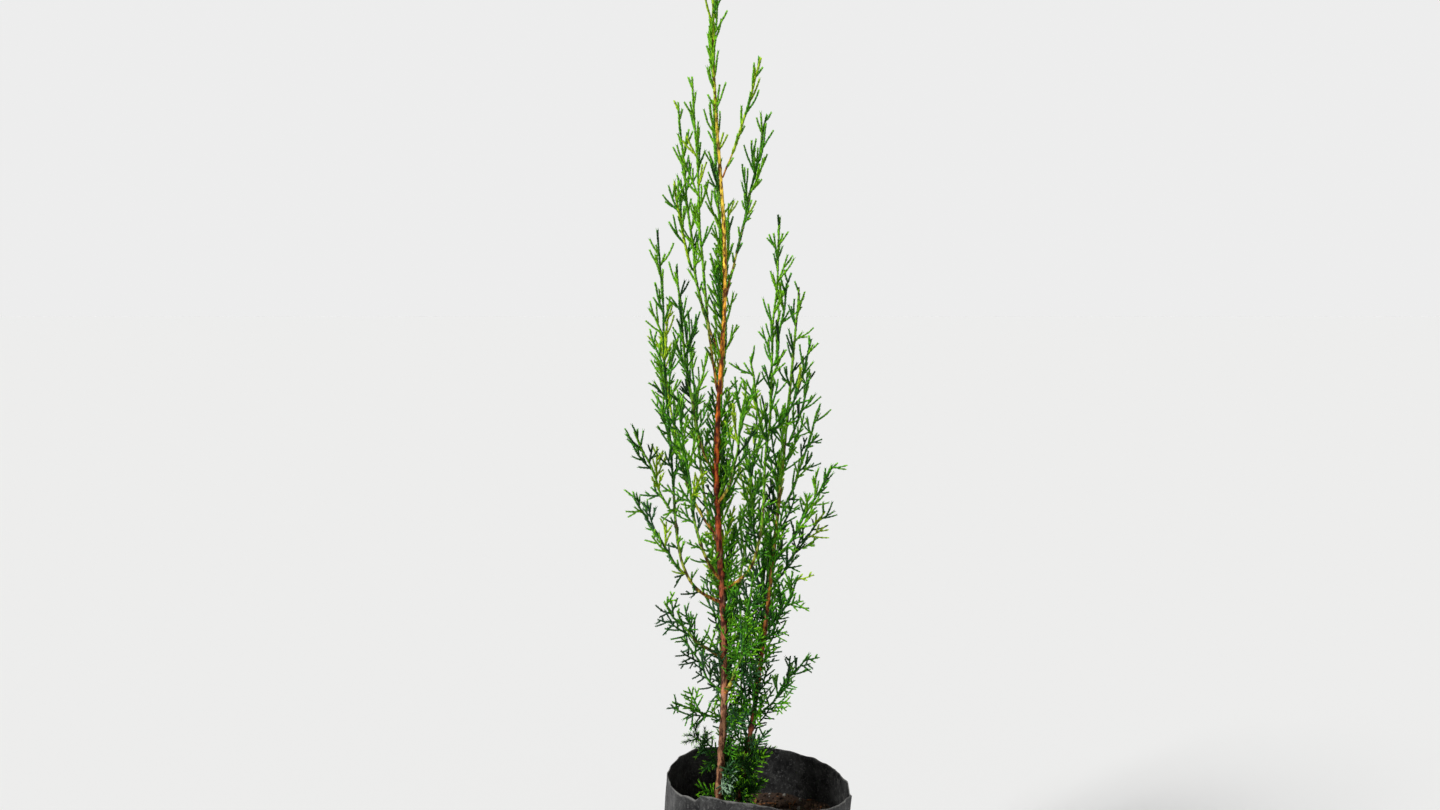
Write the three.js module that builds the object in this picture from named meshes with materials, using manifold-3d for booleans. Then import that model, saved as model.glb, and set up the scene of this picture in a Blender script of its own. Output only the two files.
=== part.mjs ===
// A young cypress in a black film grow bag: one slender leader, a second stem rising from its foot,
// steep feathery boughs, and the bag of soil that it stands in.
// Millimetres, +Z up. The origin is the centre of the bag's flat underside. +X is the plant's right.
import * as THREE from "three";
import { mergeVertices } from "three/addons/utils/BufferGeometryUtils.js";
import Module from "manifold-3d";

const wasm = await Module();
wasm.setup();

// ---- Driving sizes -------------------------------------------------------------------------------
const GAP = 0.35; // clearance kept between touching pieces

const BAG = {
  radius: 79, // at its fullest, a third of the way up
  baseRadius: 66, // flat underside
  baseRound: 11, // rounding between the underside and the wall
  mouthRadius: 76, // at the rim
  height: 186, // of the rim, on average
  rimDip: 14, // how far the rim slumps on its right side
  wall: 1.4,
  soilDepth: 44, // from the rim down to the soil
  drainRows: [26, 58], // heights of the punched drain holes
  drainRadius: 2.5,
  drainsPerRow: 4,
};
const SOIL_TOP = BAG.height - BAG.soilDepth;

const TRUNK = {
  x: -30.5, // the stem stands left of the bag's middle
  y: 2,
  foot: SOIL_TOP + GAP, // flat cut at soil level
  tip: 842,
  footRadius: 3.3,
  tipRadius: 0.8,
  taper: 1.1,
  flare: 1.8, // extra radius of the root flare
  flareHeight: 8,
  sway: 3.4, // the leader's slow side-to-side wander
  swayLength: 327,
  swayCrest: 275,
  lean: 5, // to the left, over the last third
  leanFrom: 600,
  sides: 8,
  rings: 26,
};

const SIDE_STEM = {
  x: -21, // where it comes out of the soil, close beside the trunk
  y: -3,
  turn: 2,
  reach: 54,
  top: 588,
  elbow: 0.3,
  bend: 0.25,
  footRadius: 2.6,
  tipRadius: 0.7,
  sides: 7,
  rings: 16,
};

// Boughs on the trunk. at: height of the joint with the trunk. turn: degrees round from +X, where 90 is
// the back and 270 the front. reach: how far out the tip is. top: height of the tip. elbow: share of the
// reach gained at once, at the bend. bend: how soon it turns up. bare: share of the length without
// foliage. girth: radius of the foliage.
const BOUGH_HABIT = { elbow: 0.5, bend: 0.15, bare: 0.28 }; // of each bough that doesn't say otherwise
const BOUGH_BUTT = 0.58; // radius at the joint, as a share of the trunk's there
const BOUGH_TIP_RADIUS = 0.6;
const BOUGH_LAP = 5; // how far a bough runs on into its own foliage
const BOUGH_SIDES = 6;
const BOUGH_RINGS = 5;
const BOUGHS = [
  { name: "left_long", at: 329, turn: 210, reach: 60, top: 637, elbow: 0.66, bend: 0.05, girth: 14 },
  { name: "left_middle", at: 384, turn: 146, reach: 59, top: 549, bare: 0.3, girth: 14 },
  { name: "left_inner", at: 434, turn: 198, reach: 34, top: 608, girth: 11 },
  {
    name: "left_upper", at: 533, turn: 156,
    reach: 39, top: 742, elbow: 0.6, bend: 0.2, bare: 0.22, girth: 10,
  },
  {
    name: "front_upper", at: 500, turn: 214,
    reach: 26, top: 757, elbow: 0.4, bend: 0.2, bare: 0.36, girth: 9,
  },
  { name: "back_top", at: 590, turn: 108, reach: 32, top: 742, elbow: 0.3, bend: 0.3, bare: 0.3, girth: 9 },
  { name: "top_right", at: 674, turn: 2, reach: 32, top: 771, elbow: 0.3, bend: 0.4, bare: 0.36, girth: 6.5 },
  {
    name: "right_upper", at: 578, turn: 28,
    reach: 40, top: 731, elbow: 0.1, bend: 0.3, bare: 0.34, girth: 11,
  },
  {
    name: "right_long", at: 340, turn: 326,
    reach: 55, top: 649, elbow: 0.65, bend: 0.05, bare: 0.3, girth: 13,
  },
  { name: "front_right", at: 412, turn: 296, reach: 52, top: 514, bare: 0.26, girth: 15 },
  { name: "front_left", at: 348, turn: 236, reach: 62, top: 512, girth: 15 },
  { name: "back_right", at: 305, turn: 66, reach: 70, top: 486, bare: 0.26, girth: 18 },
  { name: "back_left", at: 374, turn: 114, reach: 66, top: 572, girth: 17 },
  { name: "back_upper", at: 470, turn: 78, reach: 46, top: 662, elbow: 0.4, girth: 13 },
  {
    name: "low_left_outer", at: 283, turn: 212,
    reach: 58, top: 338, elbow: 0.35, bend: 0.3, bare: 0.26, girth: 15,
  },
  {
    name: "front_low", at: 254, turn: 292,
    reach: 60, top: 366, elbow: 0.4, bend: 0.2, bare: 0.24, girth: 16,
  },
  { name: "back_low", at: 232, turn: 94, reach: 64, top: 362, bend: 0.2, bare: 0.26, girth: 17 },
];

// Sprays: masses of foliage on a shoot too thin to be a piece of its own. from: height of the joint on
// the parent limb. The other sizes are those of the boughs.
const SPRAY_HABIT = { elbow: 0.3, bend: 0.2 };
const SPRAY_FOOT = 0.06; // share of the shoot that is bare
const SPRAYS = [
  { name: "left_tip_low", on: "left_long", from: 352, turn: 160, reach: 49, top: 418, elbow: 0.1, girth: 12 },
  {
    name: "left_tip_middle", on: "left_long", from: 404,
    turn: 214, reach: 39, top: 478, elbow: 0.1, girth: 11,
  },
  { name: "upper_left_side", on: "left_upper", from: 596, turn: 183, reach: 18, top: 674, girth: 8 },
  { name: "right_long_inner", on: "right_long", from: 462, turn: 190, reach: 14, top: 536, girth: 10 },
  { name: "right_long_outer", on: "right_long", from: 520, turn: 345, reach: 13, top: 594, girth: 8 },
  {
    name: "stem_side_first", on: "right_long", from: 470,
    turn: 330, reach: 39, top: 551, elbow: 0.5, girth: 7,
  },
  { name: "stem_side_second", on: "side_stem", from: 456, turn: 28, reach: 25, top: 519, girth: 8 },
  { name: "stem_side_third", on: "side_stem", from: 404, turn: 34, reach: 41, top: 489, girth: 9 },
  {
    name: "stem_side_fourth", on: "side_stem", from: 366,
    turn: 326, reach: 55, top: 449, elbow: 0.2, girth: 11,
  },
  {
    name: "stem_side_fifth", on: "side_stem", from: 344,
    turn: 32, reach: 57, top: 404, elbow: 0.1, girth: 11,
  },
  {
    name: "stem_side_sixth", on: "side_stem", from: 298,
    turn: 318, reach: 36, top: 358, elbow: 0.2, girth: 15,
  },
  {
    name: "stem_side_seventh", on: "side_stem", from: 232,
    turn: 336, reach: 50, top: 294, elbow: 0.1, girth: 14,
  },
  {
    name: "stem_core_upper", on: "side_stem", from: 316,
    turn: 172, reach: 14, top: 452, elbow: 0.2, girth: 17,
  },
  {
    name: "stem_core_lower", on: "side_stem", from: 222,
    turn: 240, reach: 20, top: 336, elbow: 0.2, girth: 17,
  },
  { name: "stem_back", on: "side_stem", from: 258, turn: 72, reach: 34, top: 382, girth: 16 },
  { name: "low_left_inner", on: "trunk", from: 254, turn: 144, reach: 44, top: 298, girth: 13 },
  { name: "low_left_flat", on: "trunk", from: 234, turn: 204, reach: 46, top: 252, elbow: 0.2, girth: 11 },
  { name: "base_left", on: "trunk", from: 190, turn: 200, reach: 24, top: 230, elbow: 0.2, girth: 9 },
  { name: "base_tuft", on: "side_stem", from: 156, turn: 335, reach: 18, top: 214, elbow: 0.5, girth: 16 },
];

// Masses that sheathe the upper part of a stem that runs on through them.
const SHEATHS = [
  { name: "leader_tip", on: "trunk", from: 716, to: 848, girth: 6.5 },
  { name: "side_stem_tip", on: "side_stem", from: 466, to: 596, girth: 8 },
];

// ---- Colours -------------------------------------------------------------------------------------
const paint = (color, roughness, metalness = 0) =>
  new THREE.MeshStandardMaterial({ color, roughness, metalness });
const MATERIALS = {
  bark: paint(0x8a5236, 0.85),
  greenwood: paint(0x8f8a35, 0.7),
  foliage: paint(0x3f8a34, 0.65),
  film: paint(0x232425, 0.5),
  soil: paint(0x4a3020, 0.95),
};

// ---- Solids --------------------------------------------------------------------------------------
// A closed geometry as a manifold solid, its shared corners merged and its collapsed faces dropped.
function solid(geometry) {
  const bare = new THREE.BufferGeometry()
    .setAttribute("position", geometry.getAttribute("position"))
    .setIndex(geometry.getIndex());
  const merged = mergeVertices(bare, 1e-3);
  const corners = [];
  const index = merged.getIndex().array;
  for (let i = 0; i < index.length; i += 3) {
    const [a, b, c] = [index[i], index[i + 1], index[i + 2]];
    if (a !== b && b !== c && c !== a) corners.push(a, b, c);
  }
  const build = (triangles) =>
    new wasm.Manifold(
      new wasm.Mesh({
        numProp: 3,
        vertProperties: merged.getAttribute("position").array,
        triVerts: new Uint32Array(triangles),
      }),
    );
  const made = build(corners);
  return made.volume() > 0 ? made : build(corners.reverse());
}

// The largest body of a solid, as a three.js geometry.
const SLIVER = 0.08; // detail finer than this is dropped from the cut edges
function geometryOf(made) {
  const bodies = made.simplify(SLIVER).decompose().sort((a, b) => b.volume() - a.volume());
  const mesh = bodies[0].getMesh();
  const corners = new Float32Array(mesh.numVert * 3);
  for (let i = 0; i < mesh.numVert; i++)
    corners.set(mesh.vertProperties.subarray(i * mesh.numProp, i * mesh.numProp + 3), i * 3);
  const geometry = new THREE.BufferGeometry()
    .setAttribute("position", new THREE.BufferAttribute(corners, 3))
    .setIndex(new THREE.BufferAttribute(mesh.triVerts, 1));
  geometry.computeVertexNormals();
  return geometry;
}

function boxesMeet(a, b) {
  const [p, q] = [a.boundingBox(), b.boundingBox()];
  return [0, 1, 2].every((k) => p.min[k] < q.max[k] && q.min[k] < p.max[k]);
}

function cutBy(body, cutters) {
  return cutters.reduce((left, tool) => (boxesMeet(left, tool) ? left.subtract(tool) : left), body);
}

// Bends a shape that stands along Y from 0 to 1, with radii of about 1, onto a stretch of a curve.
function bendOnto(geometry, curve, from, to, radiusAt) {
  const position = geometry.getAttribute("position");
  const corner = new THREE.Vector3();
  for (let i = 0; i < position.count; i++) {
    corner.fromBufferAttribute(position, i);
    const share = THREE.MathUtils.clamp(corner.y, 0, 1);
    const along = from + (to - from) * share;
    const middle = curve.getPointAt(along);
    const forward = curve.getTangentAt(along);
    const across = new THREE.Vector3().crossVectors(forward, curve.outward).normalize();
    const out = new THREE.Vector3().crossVectors(across, forward).normalize();
    const radius = radiusAt(share, Math.atan2(corner.z, corner.x));
    middle.addScaledVector(out, corner.x * radius).addScaledVector(across, corner.z * radius);
    position.setXYZ(i, middle.x, middle.y, middle.z);
  }
  return geometry;
}

// ---- Curves --------------------------------------------------------------------------------------
// The leader: a slow sway, and a lean over its last third.
class LeaderCurve extends THREE.Curve {
  outward = new THREE.Vector3(1, 0, 0);
  getPoint(t, target = new THREE.Vector3()) {
    const z = THREE.MathUtils.lerp(TRUNK.foot, TRUNK.tip, t);
    const phase = (2 * Math.PI * (z - TRUNK.swayCrest)) / TRUNK.swayLength;
    const leant = Math.max(0, (z - TRUNK.leanFrom) / (TRUNK.tip - TRUNK.leanFrom));
    return target.set(
      TRUNK.x + TRUNK.sway * Math.cos(phase) - TRUNK.lean * leant ** 2,
      TRUNK.y + 0.6 * TRUNK.sway * Math.sin(0.8 * phase),
      z,
    );
  }
  shareAt(z) {
    return (z - TRUNK.foot) / (TRUNK.tip - TRUNK.foot);
  }
  atHeight(z) {
    return this.getPoint(this.shareAt(z));
  }
}

// A limb that leaves its parent sideways, turns up at an elbow and climbs to its tip.
class LimbCurve extends THREE.Curve {
  constructor(foot, { turn, reach, top, elbow, bend }) {
    super();
    const angle = THREE.MathUtils.degToRad(turn);
    this.outward = new THREE.Vector3(Math.cos(angle), Math.sin(angle), 0);
    Object.assign(this, { foot, reach, rise: top - foot.z, elbow, bend });
  }
  getPoint(t, target = new THREE.Vector3()) {
    const quick = (1 - Math.exp(-t / this.bend)) / (1 - Math.exp(-1 / this.bend));
    const out = this.reach * (this.elbow * quick + (1 - this.elbow) * t);
    target.copy(this.foot).addScaledVector(this.outward, out);
    target.z += this.rise * t;
    return target;
  }
  atHeight(z) {
    return this.getPoint((z - this.foot.z) / this.rise);
  }
}

// ---- Wood ----------------------------------------------------------------------------------------
function limbSolid(curve, to, radiusAt, sides, rings, extra = 0) {
  const shape = new THREE.CylinderGeometry(1, 1, 1, sides, rings).translate(0, 0.5, 0);
  return solid(bendOnto(shape, curve, 0, to, (share) => radiusAt(share * to) + extra));
}

const trunkCurve = new LeaderCurve();
const trunkRadius = (share) =>
  TRUNK.tipRadius +
  (TRUNK.footRadius - TRUNK.tipRadius) * (1 - share) ** TRUNK.taper +
  TRUNK.flare * Math.exp((-share * (TRUNK.tip - TRUNK.foot)) / TRUNK.flareHeight);
const trunkSolid = (extra) => limbSolid(trunkCurve, 1, trunkRadius, TRUNK.sides, TRUNK.rings, extra);

const stemCurve = new LimbCurve(new THREE.Vector3(SIDE_STEM.x, SIDE_STEM.y, TRUNK.foot), SIDE_STEM);
const stemRadius = (share) =>
  THREE.MathUtils.lerp(SIDE_STEM.footRadius, SIDE_STEM.tipRadius, share ** 0.85);
const stemSolid = (extra) => limbSolid(stemCurve, 1, stemRadius, SIDE_STEM.sides, SIDE_STEM.rings, extra);

const curves = new Map([
  ["trunk", trunkCurve],
  ["side_stem", stemCurve],
]);
const boughs = BOUGHS.map((entry) => {
  const row = { ...BOUGH_HABIT, ...entry };
  const butt = BOUGH_BUTT * trunkRadius(trunkCurve.shareAt(row.at));
  const curve = new LimbCurve(trunkCurve.atHeight(row.at), row);
  curves.set(row.name, curve);
  const radiusAt = (share) => THREE.MathUtils.lerp(butt, BOUGH_TIP_RADIUS, share ** 0.7);
  const solidWith = (extra) => {
    const to = row.bare + extra / curve.getLength();
    return limbSolid(curve, to, radiusAt, BOUGH_SIDES, BOUGH_RINGS, extra);
  };
  return { ...row, curve, solid: solidWith };
});

// ---- Foliage -------------------------------------------------------------------------------------
const MASS_RINGS = 7;
const MASS_SIDES = 7;

// Fullness of a mass along its length: pointed at its foot, widest below the middle, drawn out at the tip.
const fullness = (share) => Math.sin(Math.PI * share ** 0.75) ** 0.8;

// Unevenness round and along a mass, the same each time for the same seed.
function lumps(seed, share, angle) {
  const wave = (turns, along, phase) => Math.sin(turns * angle + along * share + phase * seed);
  return 1 + 0.13 * wave(2, 5, 1.7) + 0.09 * wave(3, -9, 2.9) + 0.06 * wave(1, 14, 4.3);
}

function massSolid(curve, from, to, girth, seed, extra = 0) {
  const profile = Array.from({ length: MASS_RINGS + 1 }, (_, i) => {
    const share = i / MASS_RINGS;
    return new THREE.Vector2(i === 0 || i === MASS_RINGS ? 0 : 1, share);
  });
  const shape = new THREE.LatheGeometry(profile, MASS_SIDES);
  const radiusAt = (share, angle) => girth * fullness(share) * lumps(seed, share, angle) + extra;
  const ends = extra / curve.getLength();
  return solid(bendOnto(shape, curve, Math.max(0, from - ends), Math.min(1, to + ends), radiusAt));
}

// A stem's curve carried on past its tip, so that a sheath can close over it.
class SheathCurve extends THREE.Curve {
  constructor(stem, from, to) {
    super();
    Object.assign(this, { stem, from, to, outward: stem.outward });
  }
  getPoint(t, target = new THREE.Vector3()) {
    return target.copy(this.stem.atHeight(THREE.MathUtils.lerp(this.from, this.to, t)));
  }
}

const masses = [
  ...SHEATHS.map((row) => ({
    ...row,
    curve: new SheathCurve(curves.get(row.on), row.from, row.to),
    start: 0,
  })),
  ...SPRAYS.map((row) => ({
    ...row,
    curve: new LimbCurve(curves.get(row.on).atHeight(row.from), { ...SPRAY_HABIT, ...row }),
    start: SPRAY_FOOT,
  })),
  ...boughs.map((row) => ({
    ...row,
    start: row.bare - BOUGH_LAP / row.curve.getLength(),
  })),
];
masses.forEach((mass, i) => {
  mass.solid = (extra) => massSolid(mass.curve, mass.start, 1, mass.girth, i + 1, extra);
});

// ---- Grow bag and soil ---------------------------------------------------------------------------
const BAG_SIDES = 24;
const DRAIN_SIDES = 6;
const SOIL_SIDES = 16;
const DRAIN_PUNCH = 20; // length of the tool that cuts a drain hole
const rimHeight = (angle) =>
  BAG.height - BAG.rimDip * Math.exp(-((angle / 0.9) ** 2)) + 2.2 * Math.sin(3 * angle + 0.6);
const bagLobes = (angle) => 1 + 0.008 * Math.cos(3 * angle + 1) + 0.006 * Math.cos(5 * angle - 0.7);

// Radius of the bag's outer face at a share of its height above the rounded foot.
function bagRadius(share) {
  const belly = BAG.radius - (BAG.radius - BAG.baseRadius - BAG.baseRound) * (1 - share) ** 3;
  return THREE.MathUtils.lerp(belly, BAG.mouthRadius, THREE.MathUtils.smoothstep(share, 0.45, 1));
}

// The bag's outer face as a lathe, taken in by a wall's thickness for its inner face.
function bagBody(inset, topOf) {
  const wallRings = 4;
  const footRings = 2;
  const profile = [new THREE.Vector2(0, 0)];
  for (let i = 0; i <= footRings; i++) {
    const a = (i / footRings) * (Math.PI / 2);
    profile.push(
      new THREE.Vector2(
        BAG.baseRadius - inset + BAG.baseRound * Math.sin(a),
        inset + BAG.baseRound * (1 - Math.cos(a)),
      ),
    );
  }
  profile[0].y = inset;
  const footRingCount = profile.length;
  for (let i = 1; i <= wallRings; i++)
    profile.push(new THREE.Vector2(bagRadius(i / wallRings) - inset, i / wallRings));
  profile.push(new THREE.Vector2(0, 1));
  const shape = new THREE.LatheGeometry(profile, BAG_SIDES);
  const position = shape.getAttribute("position");
  for (let i = 0; i < position.count; i++) {
    const ring = i % profile.length;
    const onAxis = ring === 0 || ring === profile.length - 1;
    const angle = onAxis ? 0 : Math.atan2(-position.getZ(i), position.getX(i));
    const foot = inset + BAG.baseRound;
    const z =
      ring < footRingCount ? position.getY(i) : THREE.MathUtils.lerp(foot, topOf(angle), position.getY(i));
    const swell = ring < footRingCount ? 1 : bagLobes(angle);
    position.setXYZ(i, position.getX(i) * swell, -position.getZ(i) * swell, z);
  }
  return solid(shape);
}

// The space inside the bag, carried on past the rim.
const OVER_THE_RIM = 20;
const bagHollow = (inset) => bagBody(inset, (angle) => rimHeight(angle) + OVER_THE_RIM);

function bagSolid() {
  const outer = bagBody(0, rimHeight);
  const hollow = bagHollow(BAG.wall);
  let shell = outer.subtract(hollow);
  BAG.drainRows.forEach((height, row) => {
    for (let i = 0; i < BAG.drainsPerRow; i++) {
      const turn = ((i + row / 2) / BAG.drainsPerRow) * 2 * Math.PI;
      const punch = new THREE.CylinderGeometry(BAG.drainRadius, BAG.drainRadius, DRAIN_PUNCH, DRAIN_SIDES)
        .rotateZ(Math.PI / 2)
        .translate(BAG.radius, 0, 0)
        .rotateZ(turn)
        .translate(0, 0, height);
      shell = shell.subtract(solid(punch));
    }
  });
  return shell;
}

// The soil fills the bag to a little mound, with hollows where it has settled.
function soilSolid() {
  const rings = 8;
  const lift = 2 * BAG.soilDepth;
  const profile = [];
  for (let i = 0; i <= rings; i++) profile.push(new THREE.Vector2((i / rings) * 1.2 * BAG.radius, 0));
  profile.push(new THREE.Vector2(1.2 * BAG.radius, lift), new THREE.Vector2(0, lift));
  const above = new THREE.LatheGeometry(profile, SOIL_SIDES).rotateX(Math.PI / 2);
  const position = above.getAttribute("position");
  for (let i = 0; i < position.count; i++) {
    const [x, y, z] = [position.getX(i), position.getY(i), position.getZ(i)];
    const rough = 1.2 * Math.sin(x / 9) * Math.cos(y / 11) - 1.5 * Math.sin((x + y) / 31) ** 2;
    const level = Math.hypot(x - TRUNK.x, y - TRUNK.y) < 12 ? 0 : rough;
    position.setZ(i, SOIL_TOP + z + (z > 1 ? 0 : level));
  }
  return bagHollow(BAG.wall + GAP).subtract(solid(above));
}

// ---- Assembly ------------------------------------------------------------------------------------
const cypress = new THREE.Group();
cypress.name = "cypress_in_grow_bag";

function addNode(name, body, material) {
  const mesh = new THREE.Mesh(geometryOf(body), material);
  mesh.name = name;
  cypress.add(mesh);
}

const bag = bagSolid();
const soil = soilSolid();
addNode("grow_bag", bag, MATERIALS.film);
addNode("soil", soil, MATERIALS.soil);

const trunk = trunkSolid(0);
addNode("trunk", trunk, MATERIALS.bark);
const inTheWay = [trunkSolid(GAP)];

addNode("side_stem", cutBy(stemSolid(0), inTheWay), MATERIALS.bark);
inTheWay.push(stemSolid(GAP));

for (const bough of boughs) {
  addNode(`bough_${bough.name}`, cutBy(bough.solid(0), inTheWay), MATERIALS.greenwood);
  inTheWay.push(bough.solid(GAP));
}
for (const mass of masses) {
  addNode(`foliage_${mass.name}`, cutBy(mass.solid(0), inTheWay), MATERIALS.foliage);
  inTheWay.push(mass.solid(GAP));
}

export default cypress;
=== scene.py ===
# A young cypress in a black film grow bag: a slender leader and a second stem in scaly young bark,
# steep boughs, and open sprays of scale leaves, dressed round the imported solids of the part.
import math

import bpy
import numpy as np
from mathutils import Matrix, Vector, noise


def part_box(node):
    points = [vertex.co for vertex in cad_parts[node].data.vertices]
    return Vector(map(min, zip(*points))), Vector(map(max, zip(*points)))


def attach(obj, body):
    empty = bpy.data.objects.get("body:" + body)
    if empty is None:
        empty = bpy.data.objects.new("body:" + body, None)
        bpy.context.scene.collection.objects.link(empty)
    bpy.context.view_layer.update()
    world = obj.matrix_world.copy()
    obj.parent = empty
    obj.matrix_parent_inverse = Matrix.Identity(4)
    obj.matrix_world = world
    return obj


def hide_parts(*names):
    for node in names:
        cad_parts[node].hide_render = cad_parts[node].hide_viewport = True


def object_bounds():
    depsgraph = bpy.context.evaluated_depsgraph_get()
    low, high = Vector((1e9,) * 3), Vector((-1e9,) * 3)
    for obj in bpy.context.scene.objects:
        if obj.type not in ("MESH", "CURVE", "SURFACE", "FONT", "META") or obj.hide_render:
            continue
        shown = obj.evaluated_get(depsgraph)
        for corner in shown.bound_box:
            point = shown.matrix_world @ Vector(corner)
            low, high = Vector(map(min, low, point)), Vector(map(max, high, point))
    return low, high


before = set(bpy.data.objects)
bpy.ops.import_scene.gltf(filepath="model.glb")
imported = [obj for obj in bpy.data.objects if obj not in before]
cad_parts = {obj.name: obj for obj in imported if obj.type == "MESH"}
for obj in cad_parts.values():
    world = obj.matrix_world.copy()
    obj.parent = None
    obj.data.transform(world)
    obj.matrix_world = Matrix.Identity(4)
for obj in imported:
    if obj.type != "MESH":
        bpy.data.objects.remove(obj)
cad_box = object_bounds()
bpy.ops.object.select_all(action="DESELECT")


# ---- The studio: a pale matt floor that runs out of sight and meets a daylight dome, which is palest
# near the horizon, and one broad soft window light high on the left. The lens looks a little down.
CAMERA_PLACE = (-0.0311, -1.133, 0.586)
CAMERA_DOWN = 4.7
CAMERA_LENS = 35.0
FLOOR_SIZE = 60
FLOOR_PAINT = (0.88, 0.88, 0.873)
HORIZON_GREY = 0.848
DOME_GREY = 0.24
DOME_EDGE, DOME_TOP = 0.22, 0.32
WINDOW_FROM = (-1.2, -0.9, 1.3)
WINDOW_STRENGTH = 3.25
WINDOW_SPREAD = 16

bpy.ops.object.camera_add(location=CAMERA_PLACE, rotation=(math.radians(90 - CAMERA_DOWN), 0, 0))
camera = bpy.context.object
camera.data.lens = CAMERA_LENS
camera.data.sensor_width = 36.0
bpy.context.scene.camera = camera

bpy.ops.mesh.primitive_plane_add(size=FLOOR_SIZE, location=(0, 0, 0))
floor = bpy.context.object
floor.name = "studio_floor"
floor_paint = bpy.data.materials.new("pale_floor_paint")
floor_paint.use_nodes = True
floor_shader = floor_paint.node_tree.nodes["Principled BSDF"]
floor_shader.inputs["Base Color"].default_value = (*FLOOR_PAINT, 1)
floor_shader.inputs["Roughness"].default_value = 1.0
floor_shader.inputs["Specular IOR Level"].default_value = 0.0
floor.data.materials.append(floor_paint)

world = bpy.data.worlds.new("studio_daylight")
world.use_nodes = True
sky = world.node_tree
sky_direction = sky.nodes.new("ShaderNodeTexCoord")
sky_split = sky.nodes.new("ShaderNodeSeparateXYZ")
sky_grey = sky.nodes.new("ShaderNodeValToRGB")
sky_grey.color_ramp.elements[0].position = DOME_EDGE
sky_grey.color_ramp.elements[0].color = (HORIZON_GREY, HORIZON_GREY, HORIZON_GREY, 1)
sky_grey.color_ramp.elements[1].position = DOME_TOP
sky_grey.color_ramp.elements[1].color = (DOME_GREY, DOME_GREY, DOME_GREY, 1)
sky.links.new(sky_direction.outputs["Generated"], sky_split.inputs["Vector"])
sky.links.new(sky_split.outputs["Z"], sky_grey.inputs["Fac"])
sky.links.new(sky_grey.outputs["Color"], sky.nodes["Background"].inputs["Color"])
bpy.context.scene.world = world
bpy.context.scene.view_settings.view_transform = "Standard"

bpy.ops.object.light_add(type="SUN", location=WINDOW_FROM)
window_light = bpy.context.object
window_light.name = "window_light"
window_light.data.energy = WINDOW_STRENGTH
window_light.data.angle = math.radians(WINDOW_SPREAD)
window_light.rotation_euler = (-Vector(WINDOW_FROM)).to_track_quat("-Z", "Y").to_euler()


# ---- The grow bag: black polythene film, blown as a tube, sealed across the foot and stood open. The
# soil pushes it round below; the free rim keeps its fold lines, slumps to the right and has one tuck.
bag_low, bag_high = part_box("grow_bag")
BAG_RADIUS = (bag_high.x - bag_low.x) / 2
BAG_RIM = 0.186
RIM_DIP = 0.014
FOOT_RADIUS = 0.836 * BAG_RADIUS
FOOT_ROUND = 0.011
MOUTH_RADIUS = 0.962 * BAG_RADIUS
TURN_IN_FROM = 0.45
FREE_FROM = 0.7
FILM_THICK = 0.0007
FILM_SIDES = 180
FILM_RINGS = 56
FOOT_RINGS = 5
DIP_WIDTH = 0.9
RIM_SAG, SAG_AT, SAG_WIDTH = 0.0036, math.radians(-64), 0.5
RIM_WAVE = 0.0022
RIM_TUCK = math.radians(-131)
TUCK_WIDTH, TUCK_DEPTH, TUCK_DROP, TUCK_STEP = 0.05, 0.0035, 0.0026, 0.005
BAG_WAVES = ((0.008, 3, 1), (0.006, 5, -0.7))
CREASE_DEPTH = 0.0016
RUMPLE_DEPTH = 0.0012
RAGGED_RIM = 0.0016
FOLD_WIDTH = 0.07
FOLD_LINES = [(math.radians(a), depth) for a, depth in ((179, 0.0022), (-12, 0.0026), (28, 0.0014),
                                                        (58, -0.0016), (101, 0.0012), (132, -0.0012),
                                                        (-62, -0.0014), (-95, 0.001), (155, -0.001))]


def rim_height(angle):
    dip = RIM_DIP * math.exp(-((angle / DIP_WIDTH) ** 2))
    sag = RIM_SAG * math.exp(-(((angle - SAG_AT) / SAG_WIDTH) ** 2))
    return BAG_RIM - (dip + sag) + RIM_WAVE * math.sin(3 * angle + 0.6)


def film_radius(share):
    """The plain tube's radius: round below, and drawn in towards the mouth."""
    belly = BAG_RADIUS - (BAG_RADIUS - FOOT_RADIUS - FOOT_ROUND) * (1 - share) ** 3
    turn_in = min(1.0, max(0.0, (share - TURN_IN_FROM) / (1 - TURN_IN_FROM)))
    turn_in = turn_in * turn_in * (3 - 2 * turn_in)
    return belly + (MOUTH_RADIUS - belly) * turn_in


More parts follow.
